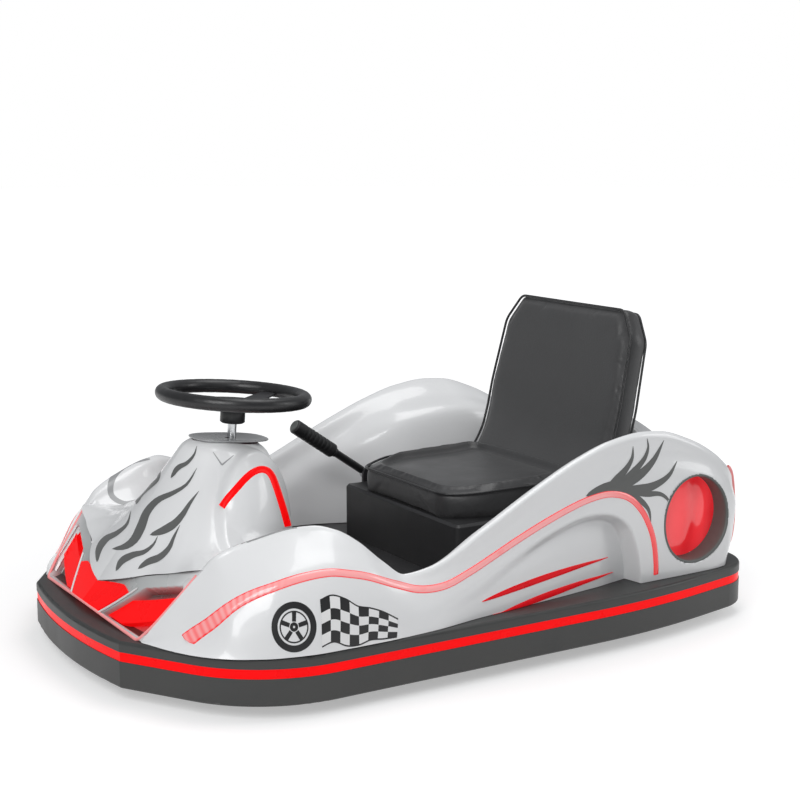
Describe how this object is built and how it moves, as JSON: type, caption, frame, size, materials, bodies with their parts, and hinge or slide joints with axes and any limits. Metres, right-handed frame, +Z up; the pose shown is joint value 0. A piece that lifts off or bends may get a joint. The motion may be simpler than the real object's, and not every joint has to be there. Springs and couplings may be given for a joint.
{
  "type": "electric bumper kart",
  "caption": "Low electric bumper kart: flowing body on a rubber bumper ring, steering pylon, bench seat, front drive wheel under the column, fixed rear wheels.",
  "frame": {"origin": "centre of the footprint on the floor", "axes": "+X forward, +Y to the driver's left, +Z up"},
  "size_m": [1.56, 1.082, 0.732],
  "materials": {
    "body_white": "gloss",
    "nose_dark": "gloss",
    "bumper_rubber": "matte",
    "lamp_red": "gloss",
    "lamp_pink": "gloss",
    "ring_grey": "satin",
    "black_metal": "satin",
    "bright_steel": "satin",
    "wheel_alloy": "satin",
    "tyre_rubber": "matte",
    "seat_hide": "satin",
    "box_black": "satin",
    "battery_case": "matte",
    "grip_rubber": "matte",
    "wheel_foam": "satin"
  },
  "bodies": {
    "body": {"bumper_ring": "bumper_rubber", "bumper_light_strip": "lamp_red", "chassis_frame": "black_metal", "floor_pan": "black_metal", "front_deck": "body_white", "hood_pylon": "body_white", "nose_shell": "body_white", "nose_lamp_centre": "lamp_red", "nose_lamp_left": "lamp_red", "nose_lamp_right": "lamp_red", "nose_panel_left": "nose_dark", "nose_panel_right": "nose_dark", "side_shell_left": "body_white", "side_shell_right": "body_white", "side_light_strip_left": "lamp_pink", "side_light_strip_right": "lamp_pink", "port_lamp_ring_left": "ring_grey", "port_lamp_ring_right": "ring_grey", "port_lamp_lens_left": "lamp_red", "port_lamp_lens_right": "lamp_red", "tail_light_strip_left": "lamp_pink", "tail_light_strip_right": "lamp_pink", "rear_cowl": "body_white", "seat_box": "box_black", "battery_block": "battery_case", "seat_cushion": "seat_hide", "seat_back": "seat_hide", "seat_strap_left": "black_metal", "seat_strap_right": "black_metal", "column_bridge": "black_metal", "column_tube": "black_metal", "rear_axle": "bright_steel", "pedal_left": "black_metal", "pedal_right": "black_metal", "tow_lug": "black_metal", "lever_bracket": "black_metal"},
    "steering": {"steering_rim": "wheel_foam", "steering_spokes": "black_metal", "steering_shaft": "bright_steel", "steering_fork": "black_metal", "front_axle": "bright_steel"},
    "front_wheel": {"front_tyre": "tyre_rubber", "front_hub": "wheel_alloy"},
    "rear_wheel_left": {"rear_left_tyre": "tyre_rubber", "rear_left_hub": "wheel_alloy"},
    "rear_wheel_right": {"rear_right_tyre": "tyre_rubber", "rear_right_hub": "wheel_alloy"},
    "drift_lever": {"lever_rod": "bright_steel", "lever_grip": "grip_rubber"}
  },
  "joints": [
    {"name": "steering_turn", "type": "hinge", "parent": "body", "child": "steering", "pos_m": [0.405, 0, 0.09], "axis": [-0.0785, 0, 0.9969], "range_deg": [-90, 90]},
    {"name": "front_wheel_spin", "type": "hinge", "parent": "steering", "child": "front_wheel", "pos_m": [0.405, 0, 0.09], "axis": [0, 1, 0], "continuous": true},
    {"name": "rear_left_spin", "type": "hinge", "parent": "body", "child": "rear_wheel_left", "pos_m": [-0.45, 0.335, 0.09], "axis": [0, 1, 0], "continuous": true},
    {"name": "rear_right_spin", "type": "hinge", "parent": "body", "child": "rear_wheel_right", "pos_m": [-0.45, -0.335, 0.09], "axis": [0, 1, 0], "continuous": true},
    {"name": "drift_lever_pull", "type": "hinge", "parent": "body", "child": "drift_lever", "pos_m": [-0.142, -0.288, 0.275], "axis": [0, -1, 0], "range_deg": [0, 55]}
  ]
}
